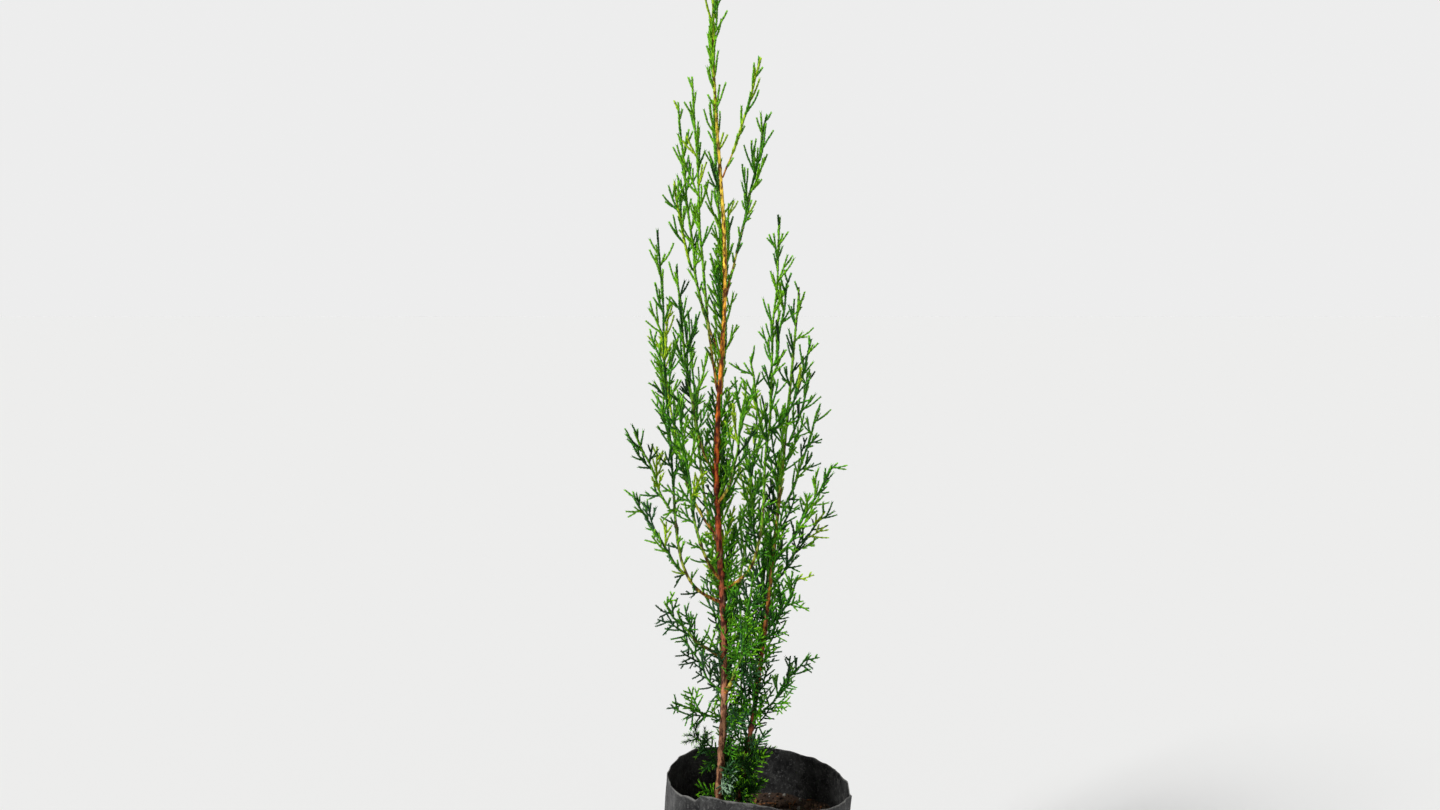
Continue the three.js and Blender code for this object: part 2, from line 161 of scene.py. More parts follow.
def film_place(x, y, z):
    """Where a point of the plain blown tube ends up on the crumpled bag."""
    share = (z - FOOT_ROUND) / (BAG_RIM - FOOT_ROUND)
    if share <= 0:
        return x, y, z
    angle = math.atan2(y, x)
    free = max(0.0, min(1.0, (share - FREE_FROM) / (1 - FREE_FROM)))
    radius = math.hypot(x, y)
    radius *= 1 + sum(size * math.cos(count * angle + start) for size, count, start in BAG_WAVES)
    for line, depth in FOLD_LINES:
        off = abs(math.remainder(angle - line, 2 * math.pi))
        radius += depth * (0.35 + 0.65 * free) * math.exp(-off / FOLD_WIDTH)
    tuck = math.remainder(angle - RIM_TUCK, 2 * math.pi) / TUCK_WIDTH
    radius -= TUCK_DEPTH * free * math.exp(-tuck * tuck) * (1.4 if tuck > 0 else 0.6)
    ring = Vector((math.cos(angle), math.sin(angle), 0))
    crease = 1 - abs(noise.noise(ring * 5.5 + Vector((0, 0, z * 22))))
    rumple = noise.noise(ring * 2.6 + Vector((4, 0, z * 30)))
    radius += CREASE_DEPTH * (crease - 0.8) * (0.5 + free) + RUMPLE_DEPTH * rumple
    height = FOOT_ROUND + share * (rim_height(angle) - FOOT_ROUND)
    height += free * (RAGGED_RIM * noise.noise(ring * 6) - TUCK_DROP * math.exp(-tuck * tuck))
    if tuck > 0:
        height += TUCK_STEP * free * math.exp(-tuck / 9) * (1 - math.exp(-tuck * 2.5))
    return radius * math.cos(angle), radius * math.sin(angle), height


bpy.ops.mesh.primitive_circle_add(vertices=FILM_SIDES, radius=FOOT_RADIUS, fill_type="TRIFAN")
grow_bag = bpy.context.object
grow_bag.name = "film_bag"
bpy.ops.object.mode_set(mode="EDIT")
bpy.ops.mesh.select_all(action="SELECT")
bpy.ops.mesh.region_to_loop()
radius, height = FOOT_RADIUS, 0.0
film_profile = [
    (FOOT_RADIUS + FOOT_ROUND * math.sin(a), FOOT_ROUND * (1 - math.cos(a)))
    for a in (math.pi / 2 * i / FOOT_RINGS for i in range(1, FOOT_RINGS + 1))
]
film_profile += [
    (film_radius(i / FILM_RINGS), FOOT_ROUND + (BAG_RIM - FOOT_ROUND) * i / FILM_RINGS)
    for i in range(1, FILM_RINGS + 1)
]
for next_radius, next_height in film_profile:
    bpy.ops.mesh.extrude_edges_move(TRANSFORM_OT_translate={"value": (0, 0, next_height - height)})
    grow = next_radius / radius
    bpy.ops.transform.resize(value=(grow, grow, 1), center_override=(0, 0, next_height))
    radius, height = next_radius, next_height
bpy.ops.mesh.select_all(action="SELECT")
bpy.ops.mesh.normals_make_consistent(inside=False)
bpy.ops.object.mode_set(mode="OBJECT")
# Each corner's share of the rim height, kept for the pale band along the rim edge, which is partly rubbed
# wear and partly a painted sheen highlight.
rim_band_share = grow_bag.data.attributes.new("rim_share", "FLOAT", "POINT")
for corner in grow_bag.data.vertices:
    rim_band_share.data[corner.index].value = corner.co.z / BAG_RIM
    corner.co = film_place(*corner.co)
film_wall = grow_bag.modifiers.new("film_thickness", "SOLIDIFY")
film_wall.thickness = FILM_THICK
film_wall.offset = -1
bpy.ops.object.modifier_apply(modifier=film_wall.name)

# The drain holes are punched through the film in two rows.
DRAIN_ROWS = (0.026, 0.058)
DRAIN_RADIUS = 0.0025
DRAINS_PER_ROW = 4
punches = []
for row, drain_height in enumerate(DRAIN_ROWS):
    for i in range(DRAINS_PER_ROW):
        turn = (i + row / 2) / DRAINS_PER_ROW * 2 * math.pi
        bpy.ops.mesh.primitive_cylinder_add(
            vertices=20, radius=DRAIN_RADIUS, depth=0.03,
            location=(BAG_RADIUS * math.cos(turn), BAG_RADIUS * math.sin(turn), drain_height),
            rotation=(0, math.pi / 2, turn),
        )
        punches.append(bpy.context.object)
for punch in punches:
    cut = grow_bag.modifiers.new("drain_hole", "BOOLEAN")
    cut.operation = "DIFFERENCE"
    cut.object = punch
bpy.ops.object.select_all(action="DESELECT")
grow_bag.select_set(True)
bpy.context.view_layer.objects.active = grow_bag
for cut_name in [m.name for m in grow_bag.modifiers]:
    bpy.ops.object.modifier_apply(modifier=cut_name)
for punch in punches:
    bpy.data.objects.remove(punch)
bpy.ops.object.shade_smooth_by_angle(angle=math.radians(50))


def new_finish(name, roughness, base=(0.5, 0.5, 0.5)):
    """A new material, its node tree and its shader."""
    finish = bpy.data.materials.new(name)
    finish.use_nodes = True
    shader = finish.node_tree.nodes["Principled BSDF"]
    shader.inputs["Base Color"].default_value = (*base, 1)
    shader.inputs["Roughness"].default_value = roughness
    return finish, finish.node_tree, shader


def add_node(tree, kind, values=None, **settings):
    """A node with its settings, and constant values on its sockets."""
    node = tree.nodes.new(kind)
    for key, value in settings.items():
        setattr(node, key, value)
    for key, value in (values or {}).items():
        node.inputs[key].default_value = value
    return node


def object_noise(tree, scale, detail=4.0, stretch=(1, 1, 1), rough=0.55):
    """A noise pattern in the piece's own metres, stretched where the real one runs one way."""
    place = add_node(tree, "ShaderNodeTexCoord")
    mapping = add_node(tree, "ShaderNodeMapping", {"Scale": stretch})
    pattern = add_node(tree, "ShaderNodeTexNoise", {"Scale": scale, "Detail": detail, "Roughness": rough})
    tree.links.new(place.outputs["Object"], mapping.inputs["Vector"])
    tree.links.new(mapping.outputs["Vector"], pattern.inputs["Vector"])
    return pattern.outputs["Fac"]


def ramp(tree, source, stops):
    """A colour ramp from (position, colour) stops."""
    node = add_node(tree, "ShaderNodeValToRGB")
    while len(node.color_ramp.elements) < len(stops):
        node.color_ramp.elements.new(0.5)
    for element, (position, colour) in zip(node.color_ramp.elements, stops):
        element.position = position
        element.color = (*colour, 1) if len(colour) == 3 else colour
    tree.links.new(source, node.inputs["Fac"])
    return node.outputs["Color"]


def mix_colours(tree, share, first, second, blend="MIX"):
    """Two colours blended by a share; each of the three is a constant or another node's output."""
    node = add_node(tree, "ShaderNodeMix", data_type="RGBA", blend_type=blend)
    for source, socket in ((share, node.inputs[0]), (first, node.inputs[6]), (second, node.inputs[7])):
        if isinstance(source, (int, float, tuple)):
            socket.default_value = source
        else:
            tree.links.new(source, socket)
    return node.outputs[2]


def add_bump(tree, shader, source, strength, distance):
    bump = add_node(tree, "ShaderNodeBump", {"Strength": strength, "Distance": distance})
    tree.links.new(source, bump.inputs["Height"])
    tree.links.new(bump.outputs["Normal"], shader.inputs["Normal"])


film_finish, tree, shader = new_finish("dusty_black_film", 0.42)
shader.inputs["Specular IOR Level"].default_value = 0.2
dust = ramp(tree, object_noise(tree, 60, 10, (1, 1, 0.8), 0.78), [(0.42, (0, 0, 0)), (0.64, (1, 1, 1))])
film_colour = mix_colours(tree, dust, (0.0055, 0.0056, 0.006, 1), (0.043, 0.043, 0.042, 1))
specks = ramp(tree, object_noise(tree, 420, 3, rough=0.85), [(0.54, (0, 0, 0)), (0.68, (1, 1, 1))])
film_colour = mix_colours(tree, specks, film_colour, (0.1, 0.1, 0.098, 1))
scuffs = ramp(tree, object_noise(tree, 110, 4, (1, 1, 0.6), 0.7), [(0.6, (0, 0, 0)), (0.78, (1, 1, 1))])
film_colour = mix_colours(tree, scuffs, film_colour, (0.15, 0.147, 0.14, 1))
# A pale band along the very top of the rim: partly rubbed wear on the film's edge and partly a painted sheen
# highlight along that edge.
rim_share = add_node(tree, "ShaderNodeAttribute", attribute_name="rim_share").outputs["Fac"]
rim_noise = add_node(tree, "ShaderNodeMath", {1: 0.03}, operation="MULTIPLY_ADD")
tree.links.new(object_noise(tree, 90, 4), rim_noise.inputs[0])
tree.links.new(rim_share, rim_noise.inputs[2])
rim_lower = add_node(tree, "ShaderNodeMath", {1: 0.02}, operation="SUBTRACT")
tree.links.new(rim_noise.outputs["Value"], rim_lower.inputs[0])
rim_wear_and_sheen = ramp(tree, rim_lower.outputs["Value"], [(0.988, (0, 0, 0)), (0.999, (1, 1, 1))])
film_colour = mix_colours(tree, rim_wear_and_sheen, film_colour, (0.2, 0.195, 0.185, 1))
tree.links.new(film_colour, shader.inputs["Base Color"])
gloss = ramp(tree, object_noise(tree, 60, 5), [(0.3, (0.36, 0.36, 0.36)), (0.75, (0.68, 0.68, 0.68))])
tree.links.new(gloss, shader.inputs["Roughness"])
add_bump(tree, shader, object_noise(tree, 190, 7, (1, 1, 0.6), 0.7), 0.6, 0.0012)
grow_bag.data.materials.append(film_finish)
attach(grow_bag, "root")
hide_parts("grow_bag")


# ---- The soil: moist brown potting soil, filled to two fingers' width below the rim and settled into
# crumbs and hollows. The body is one lumpy surface, with loose crumbs, chips and grit lying on it.
SOIL_LEVEL = 0.142
SOIL_RADIUS = BAG_RADIUS
SOIL_CLEAR = 0.0009
SOIL_SIDES = 150
SOIL_RINGS = 44
SOIL_SKIRT_RINGS = 5
SOIL_SKIRT_STEP = 0.02
SOIL_LUMPS = 0.0022
SOIL_SWELL = 0.0016
SOIL_MOUND, MOUND_REACH = 0.0012, 0.012
TRUNK_X, TRUNK_Y = -0.0325, 0.002


def film_inside(angle, height):
    """How far out the inner face of the film is, at an angle and a height."""
    share = (height - FOOT_ROUND) / (BAG_RIM - FOOT_ROUND)
    blown = film_radius(share)
    x, y, _ = film_place(blown * math.cos(angle), blown * math.sin(angle), height)
    return math.hypot(x, y) - FILM_THICK - SOIL_CLEAR


def soil_height(x, y):
    """The lumpy top of the soil, which swells gently and is heaped a little round the trunk."""
    place = Vector((x, y, 0))
    lumps = noise.fractal(place * 85, 0.75, 2.1, 6)
    swell = SOIL_SWELL * math.sin(x / 0.011) * math.cos(y / 0.013)
    near_trunk = math.exp(-(((x - TRUNK_X) ** 2 + (y - TRUNK_Y) ** 2) / MOUND_REACH**2))
    return SOIL_LEVEL + SOIL_LUMPS * lumps + swell * (1 - near_trunk) + SOIL_MOUND * near_trunk


bpy.ops.mesh.primitive_circle_add(vertices=SOIL_SIDES, radius=SOIL_RADIUS, location=(0, 0, 0))
soil_top = bpy.context.object
soil_top.name = "potting_soil"
bpy.ops.object.mode_set(mode="EDIT")
bpy.ops.mesh.select_all(action="SELECT")
for i in range(SOIL_RINGS, 1, -1):
    bpy.ops.mesh.extrude_edges_move()
    shrink = (i - 1) / i
    bpy.ops.transform.resize(value=(shrink, shrink, 1), center_override=(0, 0, 0))
bpy.ops.mesh.edge_face_add()
bpy.ops.object.mode_set(mode="OBJECT")
bpy.ops.object.transform_apply(location=True)
for corner in soil_top.data.vertices:
    corner.co *= film_inside(math.atan2(corner.co.y, corner.co.x), SOIL_LEVEL) / SOIL_RADIUS
    corner.co.z = soil_height(corner.co.x, corner.co.y)
bpy.ops.object.mode_set(mode="EDIT")
bpy.ops.mesh.select_all(action="SELECT")
bpy.ops.mesh.region_to_loop()
for _ in range(SOIL_SKIRT_RINGS):
    bpy.ops.mesh.extrude_edges_move(TRANSFORM_OT_translate={"value": (0, 0, -SOIL_SKIRT_STEP)})
bpy.ops.mesh.edge_face_add()
bpy.ops.mesh.select_all(action="SELECT")
bpy.ops.mesh.normals_make_consistent(inside=False)
bpy.ops.object.mode_set(mode="OBJECT")
for corner in soil_top.data.vertices:
    out = math.hypot(corner.co.x, corner.co.y)
    if corner.co.z < SOIL_LEVEL - SOIL_SKIRT_STEP:
        fits = film_inside(math.atan2(corner.co.y, corner.co.x), corner.co.z) / out
        corner.co.x, corner.co.y = corner.co.x * fits, corner.co.y * fits
bpy.ops.object.shade_smooth()


def soil_finish(name, dark, light):
    finish, tree, shader = new_finish(name, 0.92)
    colour = ramp(tree, object_noise(tree, 420, 6, rough=0.7), [(0.35, dark), (0.7, light)])
    tree.links.new(colour, shader.inputs["Base Color"])
    add_bump(tree, shader, object_noise(tree, 900, 5, rough=0.75), 0.9, 0.0008)
    return finish


soil_finishes = [
    soil_finish("moist_soil", (0.012, 0.006, 0.003), (0.075, 0.036, 0.016)),
    soil_finish("dry_crumb", (0.06, 0.032, 0.016), (0.15, 0.088, 0.045)),
    soil_finish("bark_chip", (0.12, 0.04, 0.01), (0.36, 0.14, 0.04)),
    soil_finish("grey_grit", (0.12, 0.11, 0.095), (0.3, 0.28, 0.25)),
]
soil_top.data.materials.append(soil_finishes[0])
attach(soil_top, "root")
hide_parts("soil")


def prototype(make, shape):
    """Models one small thing with an operator, shapes it, and hands back its corners and triangles."""
    make()
    thing = bpy.context.object
    corners = np.array([shape(corner.co.copy()) for corner in thing.data.vertices])
    thing.data.calc_loop_triangles()
    faces = np.array([tuple(t.vertices) for t in thing.data.loop_triangles])
    bpy.data.objects.remove(thing)
    return corners, faces


def joined_mesh(name, corners, faces, tints, finishes):
    """One joined mesh from stacked corners and triangles, with a finish number for each triangle."""
    mesh = bpy.data.meshes.new(name)
    mesh.vertices.add(len(corners))
    mesh.vertices.foreach_set("co", np.ascontiguousarray(corners, dtype=np.float32).ravel())
    mesh.loops.add(len(faces) * 3)
    mesh.loops.foreach_set("vertex_index", np.ascontiguousarray(faces, dtype=np.int32).ravel())
    mesh.polygons.add(len(faces))
    mesh.polygons.foreach_set("loop_start", np.arange(0, len(faces) * 3, 3, dtype=np.int32))
    mesh.polygons.foreach_set("material_index", np.ascontiguousarray(tints, dtype=np.int32))
    for finish in finishes:
        mesh.materials.append(finish)
    mesh.update(calc_edges=True)
    mesh.validate()
    piece = bpy.data.objects.new(name, mesh)
    bpy.context.scene.collection.objects.link(piece)
    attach(piece, "root")
    return piece


def stamp(shape, places, turns):
    """Copies of one small shape, each turned by its own 3x3 rows and moved to its place."""
    corners, faces = shape
    stacked = np.einsum("vk,nkj->nvj", corners, turns) + places[:, None, :]
    offsets = np.arange(len(places))[:, None, None] * len(corners)
    return stacked.reshape(-1, 3), (faces[None] + offsets).reshape(-1, 3)


rng = np.random.default_rng(seed=7)


def random_turns(count, sizes):
    """Random turns, with the size along each of a shape's own axes built in."""
    axes, _ = np.linalg.qr(rng.normal(size=(count, 3, 3)))
    return axes * sizes[:, :, None]


CRUMBS = 1500
CRUMB_REACH = 0.93 * MOUTH_RADIUS
CRUMB_LEAST, CRUMB_MORE = 0.0006, 0.0022
CRUMB_KIND_SHARES = [0.52, 0.3, 0.13, 0.05]
BARK_CHIP, BARK_CHIP_SHAPE = 2, (2.6, 1.1, 0.4)
crumb = prototype(
    lambda: bpy.ops.mesh.primitive_ico_sphere_add(subdivisions=1, radius=1),
    lambda co: co * (1 + 0.35 * noise.noise(co * 2.3)),
)
crumb_out = CRUMB_REACH * np.sqrt(rng.random(CRUMBS))
crumb_angle = rng.random(CRUMBS) * 2 * math.pi
crumb_size = CRUMB_LEAST + CRUMB_MORE * rng.random(CRUMBS) ** 3
crumb_kind = rng.choice(len(soil_finishes), CRUMBS, p=CRUMB_KIND_SHARES)
crumb_x, crumb_y = crumb_out * np.cos(crumb_angle), crumb_out * np.sin(crumb_angle)
crumb_z = np.array([soil_height(x, y) for x, y in zip(crumb_x, crumb_y)]) + 0.3 * crumb_size
crumb_sizes = crumb_size[:, None] * rng.uniform(0.5, 1.3, (CRUMBS, 3))
crumb_sizes[crumb_kind == BARK_CHIP] *= BARK_CHIP_SHAPE
crumb_corners, crumb_faces = stamp(
    crumb, np.stack([crumb_x, crumb_y, crumb_z], 1), random_turns(CRUMBS, crumb_sizes)
)
soil_crumbs = joined_mesh("soil_crumbs", crumb_corners, crumb_faces,
                          np.repeat(crumb_kind, len(crumb[1])), soil_finishes)


# ---- The trunk and the side stem: green-yellow at the growing tip, golden where the first bark forms,
# red-brown below, and thin tan fissured bark at the foot. They run whole up through the foliage.
ENDS_CLEAR = 0.02


def node_sections(node, along, count):
    """The middle and the half-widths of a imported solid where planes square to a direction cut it."""
    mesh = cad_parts[node].data
    corners = np.empty(len(mesh.vertices) * 3, dtype=np.float32)
    mesh.vertices.foreach_get("co", corners)
    corners = corners.reshape(-1, 3).astype(float)
    ends = np.empty(len(mesh.edges) * 2, dtype=np.int32)
    mesh.edges.foreach_get("vertices", ends)
    if along is None:
        _, _, axes = np.linalg.svd(corners - corners.mean(0), full_matrices=False)
        along = axes[0] * np.sign(axes[0][2])
    side = np.cross(along, (0.0, 1.0, 0.0))
    side /= np.linalg.norm(side)
    across = np.cross(along, side)
    turned = corners @ np.stack([side, across, along], 1)
    a, b = turned[ends[0::2]], turned[ends[1::2]]
    low, high = turned[:, 2].min(), turned[:, 2].max()
    middles, halves = [], []
    for share in np.linspace(ENDS_CLEAR, 1 - ENDS_CLEAR, count):
        level = low + (high - low) * share
        crossed = (a[:, 2] - level) * (b[:, 2] - level) < 0
        near, far = a[crossed], b[crossed]
        k = (level - near[:, 2]) / (far[:, 2] - near[:, 2])
        ring = near + k[:, None] * (far - near)
        middles.append((ring.min(0) + ring.max(0)) / 2)
        halves.append((ring[:, :2].max(0) - ring[:, :2].min(0)) / 2)
    back = np.stack([side, across, along])
    return np.array(middles) @ back, np.array(halves), back


def smooth_path(points, step):
    """Points at even steps along a smooth curve through the given points."""
    points = np.asarray(points, dtype=float)
    padded = np.vstack([2 * points[0] - points[1], points, 2 * points[-1] - points[-2]])
    fine = []
    for p, q, r, s in zip(padded, padded[1:], padded[2:], padded[3:]):
        t = np.linspace(0, 1, 8, endpoint=False)[:, None]
        fine.append(0.5 * (2 * q + (r - p) * t + (2 * p - 5 * q + 4 * r - s) * t**2
                           + (3 * q - p - 3 * r + s) * t**3))
    fine = np.vstack(fine + [points[-1:]])
    run = np.concatenate([[0], np.cumsum(np.linalg.norm(np.diff(fine, axis=0), axis=1))])
    even = np.linspace(0, run[-1], max(3, int(run[-1] / step) + 1))
    return np.stack([np.interp(even, run, fine[:, k]) for k in range(3)], 1)


def tapering_limb(name, path, radii, roundness):
    """A round limb along a path: a bevelled curve, made a mesh."""
    curve = bpy.data.curves.new(name, "CURVE")
    curve.dimensions = "3D"
    curve.bevel_depth = 1.0
    curve.bevel_resolution = roundness
    curve.use_fill_caps = True
    spline = curve.splines.new("POLY")
    spline.points.add(len(path) - 1)
    spline.points.foreach_set("co", np.hstack([path, np.ones((len(path), 1))]).ravel())
    spline.points.foreach_set("radius", np.asarray(radii, dtype=float))
    limb = bpy.data.objects.new(name, curve)
    bpy.context.scene.collection.objects.link(limb)
    bpy.ops.object.select_all(action="DESELECT")
    limb.select_set(True)
    bpy.context.view_layer.objects.active = limb
    bpy.ops.object.convert(target="MESH")
    bpy.ops.object.shade_smooth()
    return bpy.context.object


PLATE_STRETCH = 0.16
OLD_BARK_REACH = 0.22
KNOT_RISE, KNOT_FROM = 0.0016, 0.25


def bark_relief(limb, depth, foot, scale=900):
    """Raises long plates and sinks fissures between them, deepest at the foot of the limb."""
    for corner, normal in zip(limb.data.vertices, [v.normal.copy() for v in limb.data.vertices]):
        place = Vector((corner.co.x, corner.co.y, corner.co.z * PLATE_STRETCH)) * scale
        plate = abs(noise.noise(place)) + 0.5 * abs(noise.noise(place * 2.3))
        old = math.exp(-max(0.0, corner.co.z - foot) / OLD_BARK_REACH)
        knot_place = Vector((corner.co.x * 60, corner.co.y * 60, corner.co.z * 150))
        knot = max(0.0, noise.noise(knot_place) - KNOT_FROM)
        corner.co += normal * (depth * (0.25 + 0.75 * old) * (plate - 0.35) + KNOT_RISE * knot)


def bark_finish(name, stops, grain, low=None, high=None):
    """Bark whose colour turns with height, or with the limb's own age, under fissures and flakes."""
    finish, tree, shader = new_finish(name, 0.7)
    shader.inputs["Specular IOR Level"].default_value = 0.3
    if low is None:
        source = add_node(tree, "ShaderNodeAttribute", attribute_name="age").outputs["Fac"]
    else:
        place = add_node(tree, "ShaderNodeTexCoord")
        split = add_node(tree, "ShaderNodeSeparateXYZ")
        tree.links.new(place.outputs["Object"], split.inputs["Vector"])
        level = add_node(tree, "ShaderNodeMapRange", {"From Min": low, "From Max": high})
        tree.links.new(split.outputs["Z"], level.inputs["Value"])
        source = level.outputs["Result"]
    stray = add_node(tree, "ShaderNodeMath", {1: 0.16}, operation="MULTIPLY_ADD")
    tree.links.new(object_noise(tree, 120, 4), stray.inputs[0])
    tree.links.new(source, stray.inputs[2])
    shifted = add_node(tree, "ShaderNodeMath", {1: 0.08}, operation="SUBTRACT")
    tree.links.new(stray.outputs["Value"], shifted.inputs[0])
    colour = ramp(tree, shifted.outputs["Value"], stops)
    mottle = ramp(tree, object_noise(tree, 300, 5, (1, 1, 0.45), 0.65),
                  [(0.45, (0.2, 0.11, 0.09)), (0.52, (0.95, 0.95, 0.95)), (0.59, (1.5, 1.5, 1.6))])
    colour = mix_colours(tree, 1.0, colour, mottle, "MULTIPLY")
    fissure = object_noise(tree, grain, 5, (1, 1, 0.14), 0.65)
    dark = ramp(tree, fissure, [(0.34, (0.22, 0.16, 0.12)), (0.5, (1, 1, 1))])
    colour = mix_colours(tree, 1.0, colour, dark, "MULTIPLY")
    flake = ramp(tree, object_noise(tree, grain * 0.7, 3, (1, 1, 0.25)),
                 [(0.62, (0, 0, 0)), (0.7, (1, 1, 1))])
    flake_share = mix_colours(tree, 1.0, flake, (0.4, 0.4, 0.4, 1), "MULTIPLY")
    colour = mix_colours(tree, flake_share, colour, (0.62, 0.36, 0.2, 1))
    tree.links.new(colour, shader.inputs["Base Color"])
    add_bump(tree, shader, fissure, 0.7, 0.0006)
    return finish


TRUNK_STOPS = [(0.0, (0.27, 0.13, 0.055)), (0.12, (0.34, 0.155, 0.08)), (0.24, (0.31, 0.085, 0.035)),
               (0.38, (0.4, 0.06, 0.014)), (0.5, (0.62, 0.13, 0.012)), (0.58, (0.86, 0.34, 0.02)),
               (0.68, (0.98, 0.6, 0.06)), (0.84, (0.62, 0.5, 0.035)), (0.95, (0.26, 0.44, 0.02))]
STEM_STOPS = [(0.0, (0.25, 0.11, 0.05)), (0.25, (0.28, 0.06, 0.02)), (0.42, (0.42, 0.14, 0.02)),
              (0.55, (0.42, 0.32, 0.035)), (0.75, (0.2, 0.34, 0.025)), (1.0, (0.16, 0.38, 0.02))]
LIMB_STEP = 0.0013
BARK_DEPTH = 0.0013
BARK_GRAIN = 380
limb_paths = {}
for node, stations, roundness, stops in (("trunk", 40, 8, TRUNK_STOPS), ("side_stem", 24, 5, STEM_STOPS)):
    middles, halves, _ = node_sections(node, (0.0, 0.0, 1.0), stations)
    low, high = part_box(node)
    middles = np.vstack([[*middles[0][:2], low.z], middles, [*middles[-1][:2], high.z]])
    widths = np.concatenate([halves[:1].mean(1), halves.mean(1), halves[-1:].mean(1)])
    path = smooth_path(middles, LIMB_STEP)
    limb_paths[node] = path
    radii = np.interp(path[:, 2], middles[:, 2], widths)
    limb = tapering_limb(f"{node}_bark", path, radii, roundness)
    bark_relief(limb, BARK_DEPTH, low.z)
    limb.data.materials.append(bark_finish(f"{node}_bark_finish", stops, BARK_GRAIN, low.z, high.z))
    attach(limb, "root")
    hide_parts(node)


# ---- The boughs: steep young limbs, orange-brown at the joint and yellow-green further out. Each
# leaves its stem sideways, turns up, and runs on as the leading shoot of its own foliage.
GREENWOOD_TIP = 0.0006
GREENWOOD_RUN = 0.03
GREENWOOD_STEP = 1.5 * LIMB_STEP
GREENWOOD_GRAIN = 900
SMOOTH_BARK_DEPTH, SMOOTH_BARK_SCALE = 0.0004, 1400
OLD_BARK_FOOT = 0.2
BUTT_SWELL = 1.1
TAPER = 0.6
JOIN_CLEAR = 0.025
foliage_nodes = sorted(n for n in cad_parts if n.startswith("foliage_"))
mass_rooms = {}
for node in foliage_nodes:
    mass_rooms[node] = node_sections(node, None, 9)

bough_stops = [(0.0, (0.26, 0.06, 0.02)), (0.1, (0.5, 0.2, 0.025)), (0.24, (0.46, 0.36, 0.04)),
               (0.48, (0.25, 0.38, 0.03)), (1.0, (0.13, 0.36, 0.02))]
bough_finish = bark_finish("greenwood_finish", bough_stops, GREENWOOD_GRAIN)
for node in sorted(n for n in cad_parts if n.startswith("bough_")):
    name = node.removeprefix("bough_")
    corners = np.array([v.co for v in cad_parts[node].data.vertices])
    rise = corners[corners[:, 2].argmax()] - corners[corners[:, 2].argmin()]
    wood, halves, _ = node_sections(node, rise / np.linalg.norm(rise), 7)
    trunk = limb_paths["trunk"]
    joint = trunk[np.linalg.norm(trunk - (wood[0] - 0.15 * (wood[1] - wood[0])), axis=1).argmin()]
    leading = mass_rooms[f"foliage_{name}"][0]
    leading = leading[(leading - wood[-1]) @ rise > JOIN_CLEAR * rise @ rise]
    path = smooth_path(np.vstack([joint, wood, leading]), GREENWOOD_STEP)
    limb_paths[name] = path
    into_mass = np.linalg.norm(path - leading[0], axis=1).argmin() + int(GREENWOOD_RUN / GREENWOOD_STEP)
    share = np.linspace(0, 1, min(len(path), into_mass))
    butt = halves.mean(1)[1:4].mean()
    radii = GREENWOOD_TIP + (BUTT_SWELL * butt - GREENWOOD_TIP) * (1 - share) ** TAPER
    limb = tapering_limb(f"{name}_wood", path[:len(share)], radii, 3)
    bark_relief(limb, SMOOTH_BARK_DEPTH, OLD_BARK_FOOT, SMOOTH_BARK_SCALE)
    corners = np.array([v.co for v in limb.data.vertices])
    nearest = np.linalg.norm(corners[:, None] - path[None, :len(share)], axis=2).argmin(1)
    limb.data.attributes.new("age", "FLOAT", "POINT").data.foreach_set("value", share[nearest])
    limb.data.materials.append(bough_finish)
    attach(limb, "root")
    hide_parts(node)


# ---- The foliage: cord-like shoots clothed in pairs of small scale leaves, each pair square to the
# last. A leading shoot bears side shoots all round, and these bear short blunt shoots. Low on the plant
# the sprays are close and feathery; towards the tip they are longer, steeper and further apart.
UP = np.array((0.0, 0.0, 1.0))
SHOOT_STEP = 0.004
CORD_RADIUS = 0.00066
GOLDEN_TURN = math.radians(137.5)
CROWN_FOOT, CROWN_TIP = SOIL_LEVEL, cad_box[1].z
shoots = []

# How the sprays are built at six heights, as shares of the way from the soil to the tip.
HABIT_HEIGHTS = [0.0, 0.15, 0.35, 0.6, 0.8, 1.0]
HABIT = {
    "side_gap": [0.0047, 0.0053, 0.0073, 0.0094, 0.0106, 0.0115],
    "side_tilt": [50, 48, 36, 27, 24, 21],
    "side_most": [0.03, 0.034, 0.046, 0.054, 0.052, 0.032],
    "short_gap": [0.0026, 0.0028, 0.0044, 0.0072, 0.0102, 0.0115],
    "short_length": [0.0115, 0.0125, 0.0135, 0.0165, 0.019, 0.016],
    "short_tilt": [52, 48, 35, 26, 23, 22],
    "short_stray": [0.2, 0.2, 0.4, 0.7, 1.0, 1.0],
    "lift": [0.05, 0.06, 0.08, 0.1, 0.12, 0.12],
    "clean_tip": [0.002, 0.002, 0.003, 0.006, 0.01, 0.01],
    "forking": [0.55, 0.55, 0.5, 0.35, 0.12, 0.0],
    "cord": [0.84, 0.86, 0.92, 0.97, 1.02, 1.02],
}


def habit(name, height):
    return float(np.interp((height - CROWN_FOOT) / (CROWN_TIP - CROWN_FOOT), HABIT_HEIGHTS, HABIT[name]))


def unit(vector):
    return vector / max(1e-9, np.linalg.norm(vector))


def point_on(path, distance):
    """The point and heading a distance along a path of even steps."""
    step = np.linalg.norm(path[1] - path[0])
    place = min(len(path) - 1.001, max(0.0, distance / step))
    i = int(place)
    return path[i] + (place - i) * (path[i + 1] - path[i]), unit(path[i + 1] - path[i])


def grow(start, heading, length, lift, wander):
    """A shoot that sets out one way, turns up as it lengthens, and wanders a little."""
    steps = max(2, round(length / SHOOT_STEP))
    points = [start]
    for _ in range(steps):
        heading = unit(heading + lift * UP + wander * rng.normal(size=3))
        points.append(points[-1] + heading * length / steps)
    return np.array(points)


